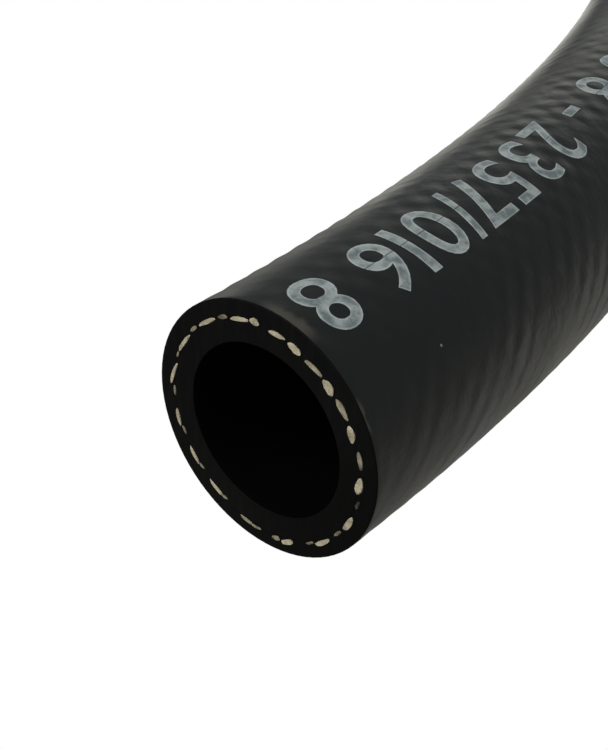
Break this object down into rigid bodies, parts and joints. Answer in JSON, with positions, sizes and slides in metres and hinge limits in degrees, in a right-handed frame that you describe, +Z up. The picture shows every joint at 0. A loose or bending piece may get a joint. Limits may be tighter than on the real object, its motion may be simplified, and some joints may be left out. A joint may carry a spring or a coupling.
{
  "type": "rubber hose",
  "caption": "Flexible black rubber hose with a textile yarn braid between its inner tube and its outer cover, cut square at both ends and lying in one open turn.",
  "frame": {"origin": "middle of the footprint of the lying hose, on the floor", "axes": "+Z up; the near cut end faces -Y and the hose runs from it towards +Y, turns to the left, and its far cut end faces +X"},
  "size_m": [0.378, 0.3586, 0.028],
  "materials": {
    "cover_rubber": "satin",
    "tube_rubber": "matte",
    "braid_yarn": "matte"
  },
  "bodies": {
    "root": {"inner_tube": "tube_rubber", "yarn_braid": "braid_yarn", "outer_cover": "cover_rubber"}
  },
  "joints": []
}
